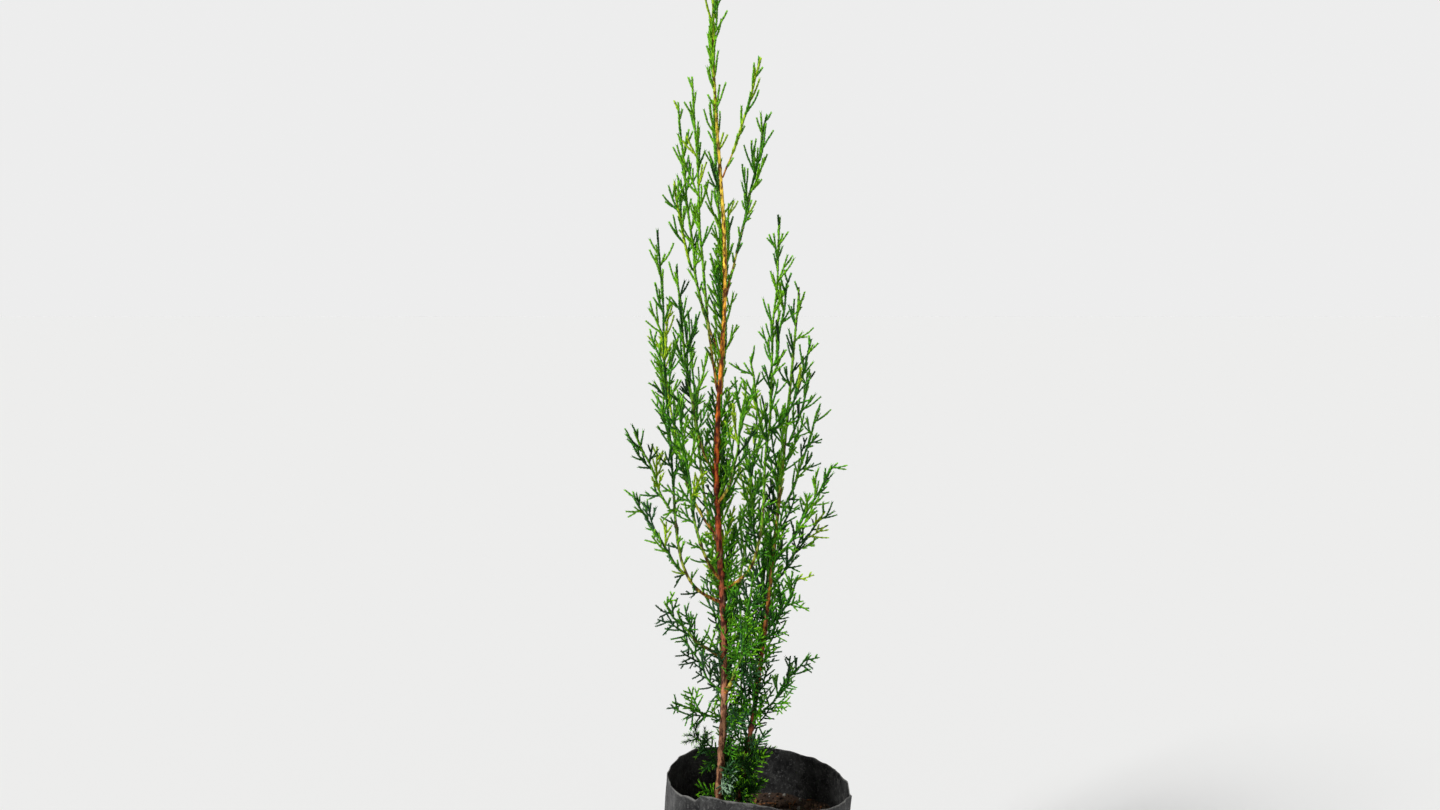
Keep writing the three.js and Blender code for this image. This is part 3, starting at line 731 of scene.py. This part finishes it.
def length_of(path):
    return np.linalg.norm(np.diff(path, axis=0), axis=1).sum()


def add_shoot(group, points, thick, tint, kind, thick_at_tip=None):
    shoots.append({"group": group, "points": points, "thick": thick, "tint": tint, "kind": kind,
                   "thick_at_tip": thick_at_tip or 0.85 * thick})


def square_to(heading, angle):
    """A direction square to a heading: upward at no angle, then turned round the heading."""
    across = unit(np.cross(heading, UP + (0.02, 0.03, 0.0)))
    return math.cos(angle) * np.cross(across, heading) + math.sin(angle) * across


TINT_NAMES = ["fresh_tip", "spring_green", "leaf_green", "deep_green", "blue_green", "shade_green", "bloom"]
TINT_COLOURS = [(0.37, 0.58, 0.015), (0.17, 0.47, 0.009), (0.075, 0.31, 0.009), (0.026, 0.135, 0.008),
                (0.06, 0.18, 0.065), (0.014, 0.068, 0.009), (0.3, 0.46, 0.3)]
# Each spray is dealt one tint by its height. The fresh and spring greens, commoner towards the tip, are the
# young growth's own colour. The shade green, commoner low on the plant, is painted shade.
SCALE_TINT_SHARES = np.array([
    [0.00, 0.00, 0.12, 0.30, 0.26, 0.30, 0.02],
    [0.00, 0.04, 0.27, 0.36, 0.15, 0.17, 0.01],
    [0.02, 0.14, 0.38, 0.30, 0.05, 0.11, 0.00],
    [0.06, 0.30, 0.42, 0.18, 0.00, 0.04, 0.00],
    [0.16, 0.44, 0.32, 0.08, 0.00, 0.00, 0.00],
    [0.30, 0.52, 0.18, 0.00, 0.00, 0.00, 0.00],
])
# Round the foot the needles are dealt mostly shade green: painted shade under the foliage above and inside
# the bag.
NEEDLE_TINT_SHARES = np.array([[0.0, 0.0, 0.08, 0.32, 0.04, 0.56, 0.0]] * len(HABIT_HEIGHTS))


def deal_tint(height, kind):
    shares = NEEDLE_TINT_SHARES if kind == "needle" else SCALE_TINT_SHARES
    share = (height - CROWN_FOOT) / (CROWN_TIP - CROWN_FOOT)
    weights = np.array([np.interp(share, HABIT_HEIGHTS, column) for column in shares.T])
    return int(rng.choice(len(weights), p=weights / weights.sum()))


UPPER_FROM, TOP_FROM = 0.4, 0.6


def group_of(middle):
    """Sprays are gathered into pieces by where they stand in the crown."""
    if middle[2] > TOP_FROM:
        return "top"
    side = "left" if middle[0] < TRUNK_X else "right"
    return f"{side}_{'upper' if middle[2] > UPPER_FROM else 'lower'}"


BARE_FRONT = 0.0042
BARE_FROM, BARE_TO = 0.2, 0.7
SHED_HEIGHTS, SHED_CHANCES = (0.34, 0.46), (0.5, 0.92)


def hides_trunk(points):
    """Whether a shoot would cross the front of the trunk, which the older wood keeps clear."""
    trunk = limb_paths["trunk"]
    for x, y, z in (points[len(points) // 2], points[-1]):
        trunk_x, trunk_y = np.interp(z, trunk[:, 2], trunk[:, 0]), np.interp(z, trunk[:, 2], trunk[:, 1])
        if BARE_FROM < z < BARE_TO and abs(x - trunk_x) < BARE_FRONT and y < trunk_y:
            return rng.random() < np.interp(z, SHED_HEIGHTS, SHED_CHANCES)
    return False


FIRST_SHORT = 0.003
SHORT_FORK_SHARE = 0.42
SHORTEST_FORKED = 0.0095


def clothe(group, bearer, tint, kind, order=2):
    """Short shoots along both sides of a side shoot, longest near its foot; the long ones fork."""
    length = length_of(bearer)
    height = bearer[0][2]
    turn = rng.normal() * 0.45
    distance = FIRST_SHORT
    while distance < length - habit("clean_tip", height):
        place, heading = point_on(bearer, distance)
        left = 1 - distance / length
        short_length = habit("short_length", height) * (0.4 + 0.8 * left) * rng.uniform(0.6, 1.2)
        if order > 2:
            short_length *= SHORT_FORK_SHARE
        turn += math.pi + rng.normal() * habit("short_stray", height)
        tilt = math.radians(habit("short_tilt", height) * rng.uniform(0.85, 1.15))
        start = math.cos(tilt) * heading + math.sin(tilt) * square_to(heading, turn)
        short = grow(place, start, short_length, habit("lift", height), 0.05)
        if hides_trunk(short):
            distance += habit("short_gap", height)
            continue
        add_shoot(group, short, 0.92 * habit("cord", height), tint, kind)
        if order == 2 and short_length > SHORTEST_FORKED and rng.random() < habit("forking", height):
            clothe(group, short, tint, kind, order=3)
        distance += habit("short_gap", height) * rng.uniform(0.75, 1.3) * (1 if order == 2 else 1.3)


def add_side_shoot(group, place, start, length, kind, tint=None):
    """A side shoot with its own tint, and its short shoots."""
    side_shoot = grow(place, start, length, habit("lift", place[2]), 0.045)
    if hides_trunk(side_shoot):
        return
    tint = deal_tint(side_shoot[-1][2], kind) if tint is None else tint
    add_shoot(group, side_shoot, habit("cord", place[2]), tint, kind)
    clothe(group, side_shoot, tint, kind)


LEAFY_REACH = 0.8
LEADING_SHOOT = 1.3
LEAST_SIDE_SHOOT = 0.008
for node in foliage_nodes:
    name = node.removeprefix("foliage_")
    middles, halves, back = mass_rooms[node]
    group = group_of(middles.mean(0))
    kind = "needle" if name.startswith("base_") else "scale"
    first = 0
    if name in limb_paths:
        axis = limb_paths[name]
        into_mass = np.linalg.norm(axis - middles[0], axis=1).argmin()
        first = int(into_mass * LEAFY_REACH)
        axis = axis[into_mass - first:]
    elif name in ("leader_tip", "side_stem_tip"):
        stem = limb_paths["trunk" if name == "leader_tip" else "side_stem"]
        axis = stem[np.linalg.norm(stem - middles[0], axis=1).argmin():]
    else:
        nearest = [path[np.linalg.norm(path - middles[0], axis=1).argmin()] for path in limb_paths.values()]
        joint = min(nearest, key=lambda p: np.linalg.norm(p - middles[0]))
        axis = smooth_path(np.vstack([joint, middles]), 0.002)
    cord_thick = habit("cord", axis[0][2])
    tint = deal_tint(axis[-1][2], kind)
    leading = axis[int(0.6 * first)::2]
    add_shoot(group, leading, LEADING_SHOOT * cord_thick, tint, kind, thick_at_tip=cord_thick)
    length = length_of(axis)
    levels = middles @ back[2]
    distance, turn = 0.002, rng.random() * 2 * math.pi
    while distance < length - 0.003:
        place, heading = point_on(axis, distance)
        wide = np.interp(place @ back[2], levels, halves[:, 0])
        deep = np.interp(place @ back[2], levels, halves[:, 1])
        room = 1 / math.hypot(math.cos(turn) / wide, math.sin(turn) / deep)
        out = unit(math.cos(turn) * back[0] + math.sin(turn) * back[1])
        tilt = math.radians(habit("side_tilt", place[2]) * rng.uniform(0.8, 1.2))
        side_length = max(LEAST_SIDE_SHOOT, room / math.sin(0.75 * tilt) * rng.uniform(0.6, 1.08))
        side_length = min(side_length, habit("side_most", place[2]))
        start = math.cos(tilt) * heading + math.sin(tilt) * out
        add_side_shoot(group, place, start, side_length, kind)
        distance += habit("side_gap", place[2]) * rng.uniform(0.7, 1.3)
        turn += GOLDEN_TURN + rng.normal() * 0.3


# Young sprays spring straight from both stems as well. They crowd between the stems and round the
# foot, make a steep wedge left of the trunk higher up, and hug and fork the leader near its tip.
STEM_SPRAYS = [
    # stem, lowest, highest, gap, usual length, tilt, turned from, turned to, kind, tint
    ("trunk", 0.144, 0.19, 0.0026, 0.026, 60, -60, 80, "needle", None),
    ("side_stem", 0.144, 0.19, 0.003, 0.02, 60, -180, 180, "needle", None),
    ("trunk", 0.176, 0.188, 0.005, 0.024, 96, -66, -30, "scale", "bloom"),
    ("trunk", 0.15, 0.154, 0.0025, 0.016, 90, -62, -20, "scale", "bloom"),
    ("trunk", 0.152, 0.17, 0.008, 0.026, 56, 172, 214, "scale", "leaf_green"),
    ("trunk", 0.18, 0.3, 0.0055, 0.034, 50, -62, 100, "scale", None),
    ("trunk", 0.2, 0.34, 0.018, 0.022, 48, 100, 250, "scale", None),
    ("trunk", 0.3, 0.42, 0.0045, 0.046, 32, -62, 110, "scale", None),
    ("trunk", 0.4, 0.48, 0.006, 0.044, 24, -62, 110, "scale", None),
    ("trunk", 0.34, 0.56, 0.012, 0.032, 26, 110, 245, "scale", None),
    ("trunk", 0.462, 0.49, 0.012, 0.022, 26, -40, 40, "scale", None),
    ("trunk", 0.555, 0.63, 0.0048, 0.046, 20, 100, 245, "scale", None),
    ("trunk", 0.63, 0.71, 0.012, 0.034, 20, 100, 245, "scale", None),
    ("side_stem", 0.17, 0.34, 0.0047, 0.035, 44, -180, 180, "scale", None),
    ("side_stem", 0.34, 0.46, 0.0058, 0.042, 26, -180, 180, "scale", None),
    ("trunk", 0.786, 0.787, 0.01, 0.056, 17, -8, 8, "scale", "spring_green"),
    ("trunk", 0.744, 0.76, 0.012, 0.052, 8, 165, 195, "scale", "spring_green"),
    ("trunk", 0.728, 0.734, 0.01, 0.022, 13, -12, 12, "scale", "spring_green"),
]
for stem, lowest, highest, gap, usual, tilt, turned_from, turned_to, kind, tint_name in STEM_SPRAYS:
    path = limb_paths[stem]
    height = lowest
    while height < highest:
        place, heading = point_on(path, length_of(path[:1 + path[:, 2].searchsorted(height)]))
        turn = math.radians(rng.uniform(turned_from, turned_to))
        out = unit(np.array((math.cos(turn), math.sin(turn), 0.0)))
        lean = math.radians(tilt * rng.uniform(0.8, 1.2))
        start = math.cos(lean) * heading + math.sin(lean) * out
        tint = TINT_NAMES.index(tint_name) if tint_name else None
        add_side_shoot(group_of(place), place, start, usual * rng.uniform(0.65, 1.1), kind, tint)
        height += gap * rng.uniform(0.7, 1.3)


# A scale leaf is a small blunt scale, widest past its middle, raised along its keel and free at its
# tip. The young leaves round the foot of the plant are narrow needles instead.
def leaf_shape(length, width, keel):
    """One leaf: across X, along Y and proud in Z."""
    def shape(co):
        along = (co.y + 0.81) / 1.81
        raised = keel if co.length < 0.01 else (0.7 * keel if along > 0.9 else -0.25 * keel)
        return (co.x / 1.9 * width, along * length, raised)

    def pentagon():
        bpy.ops.mesh.primitive_circle_add(vertices=5, radius=1, fill_type="TRIFAN")

    return prototype(pentagon, shape)


LEAVES = {
    "scale": {"shape": leaf_shape(0.0036, 0.0015, 0.00035), "gap": 0.0026, "tilt": 0.11, "young": 0.005},
    "needle": {"shape": leaf_shape(0.0046, 0.0008, 0.0003), "gap": 0.002, "tilt": 0.45, "young": 0.002},
}


def square_pair(headings):
    """Two directions square to each heading and to one another."""
    side = np.cross(headings, (0.3, 0.9, 0.1))
    side /= np.linalg.norm(side, axis=1)[:, None]
    return side, np.cross(headings, side)


def leaf_pairs(shoot):
    """Places and turns of the leaf pairs along a shoot, and how far each is from the tip."""
    leaf = LEAVES[shoot["kind"]]
    points = shoot["points"]
    runs = np.linalg.norm(np.diff(points, axis=0), axis=1)
    run = np.concatenate([[0], np.cumsum(runs)])
    gap = leaf["gap"] * shoot["thick_at_tip"]
    at = np.arange(0.3 * gap, run[-1], gap)
    place = np.stack([np.interp(at, run, points[:, k]) for k in range(3)], 1)
    piece = np.clip(np.searchsorted(run, at, side="right") - 1, 0, len(runs) - 1)
    heading = (np.diff(points, axis=0) / runs[:, None])[piece]
    side, front = square_pair(heading)
    square = (np.arange(len(at)) % 2)[:, None]
    out = np.where(square == 0, side, front) * 0.94 + np.where(square == 0, front, side) * 0.34
    left = run[-1] - at
    thick = np.interp(at, [0, run[-1]], [shoot["thick"], shoot["thick_at_tip"]])
    size = thick * (0.85 + 0.25 * rng.random(len(at)))
    tilt = leaf["tilt"]
    places, turns = [], []
    for outward in (out, -out):
        along = math.cos(tilt) * heading + math.sin(tilt) * outward
        proud = math.cos(tilt) * outward - math.sin(tilt) * heading
        across = np.cross(along, proud)
        turns.append(np.stack([across, along, proud], 1) * size[:, None, None])
        places.append(place + outward * (CORD_RADIUS * 0.78 * thick)[:, None])
    return np.vstack(places), np.vstack(turns), np.tile(left, 2)


def young_tint(tint, kind):
    """The fresher green that the youngest leaves at a shoot's tip take."""
    if kind == "needle":
        return np.full(len(tint), TINT_NAMES.index("spring_green"))
    freshens = (tint == TINT_NAMES.index("leaf_green")) | (tint == TINT_NAMES.index("deep_green"))
    return np.where(freshens, tint - 1, tint)


LEAF_SHINE = 0.15
leaf_finishes = []
for name, colour in zip(TINT_NAMES, TINT_COLOURS):
    finish, tree, shader = new_finish(f"leaf_{name}", 0.5, colour)
    shader.inputs["Specular IOR Level"].default_value = LEAF_SHINE
    leaf_finishes.append(finish)


def cord(points, radius_foot, radius_tip, sides=5):
    """A thin closed tube along a shoot."""
    headings = np.gradient(points, axis=0)
    headings /= np.linalg.norm(headings, axis=1)[:, None]
    side, front = square_pair(headings)
    radii = np.linspace(radius_foot, radius_tip, len(points))
    angles = np.arange(sides) * 2 * math.pi / sides
    ring = np.cos(angles)[None, :, None] * side[:, None] + np.sin(angles)[None, :, None] * front[:, None]
    corners = (points[:, None] + ring * radii[:, None, None]).reshape(-1, 3)
    tip = len(corners)
    corners = np.vstack([corners, points[-1] + headings[-1] * radius_tip * 1.2, points[0]])
    j = np.arange(sides)
    k = (j + 1) % sides
    rings = np.arange(len(points) - 1)[:, None] * sides
    a, b = (rings + j).ravel(), (rings + k).ravel()
    last = (len(points) - 1) * sides
    return corners, np.vstack([
        np.stack([a, b, b + sides], 1), np.stack([a, b + sides, a + sides], 1),
        np.stack([last + j, last + k, np.full(sides, tip)], 1), np.stack([k, j, np.full(sides, tip + 1)], 1),
    ])


def twig_finish(name, dark, light):
    finish, tree, shader = new_finish(name, 0.6)
    shader.inputs["Specular IOR Level"].default_value = LEAF_SHINE
    colour = ramp(tree, object_noise(tree, 420, 3), [(0.38, dark), (0.62, light)])
    tree.links.new(colour, shader.inputs["Base Color"])
    return finish


# The cord inside the leaves shows between them in the tint of its own spray, darkened as painted shade in
# the gaps between the leaves.
twig_finishes = [
    twig_finish(f"cord_{name}", tuple(0.25 * c for c in colour), tuple(0.7 * c for c in colour))
    for name, colour in zip(TINT_NAMES, TINT_COLOURS)
]



def joined_sprays(name, parts, finishes, stands_for):
    """One piece from stacked parts of corners, triangles and tints, in place of its masses."""
    firsts = np.cumsum([0] + [len(corners) for corners, _, _ in parts])
    corners = np.vstack([part[0] for part in parts])
    faces = np.vstack([part[1] + first for part, first in zip(parts, firsts)])
    piece = joined_mesh(name, corners, faces, np.concatenate([part[2] for part in parts]), finishes)
    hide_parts(*stands_for)
    return piece


for group in sorted(set(shoot["group"] for shoot in shoots)):
    members = [shoot for shoot in shoots if shoot["group"] == group]
    stands_for = [n for n in foliage_nodes if group_of(mass_rooms[n][0].mean(0)) == group]
    leaf_parts = []
    for kind, leaf in LEAVES.items():
        found = [(leaf_pairs(s), s["tint"]) for s in members if s["kind"] == kind]
        if not found:
            continue
        places = np.vstack([pairs[0] for pairs, _ in found])
        turns = np.vstack([pairs[1] for pairs, _ in found])
        tint = np.concatenate([np.full(len(pairs[0]), t) for pairs, t in found])
        near_tip = np.concatenate([pairs[2] for pairs, _ in found]) < leaf["young"]
        tint = np.where(near_tip, young_tint(tint, kind), tint)
        corners, faces = stamp(leaf["shape"], places, turns)
        leaf_parts.append((corners, faces, np.repeat(tint, len(leaf["shape"][1]))))
    joined_sprays(f"leaves_{group}", leaf_parts, leaf_finishes, stands_for)

    twig_parts = []
    for shoot in members:
        corners, faces = cord(shoot["points"], CORD_RADIUS * shoot["thick"],
                              CORD_RADIUS * shoot["thick_at_tip"])
        twig_parts.append((corners, faces, np.full(len(faces), shoot["tint"])))
    twigs = joined_sprays(f"twigs_{group}", twig_parts, twig_finishes, stands_for)
    twigs.data.polygons.foreach_set("use_smooth", np.ones(len(twigs.data.polygons), dtype=bool))
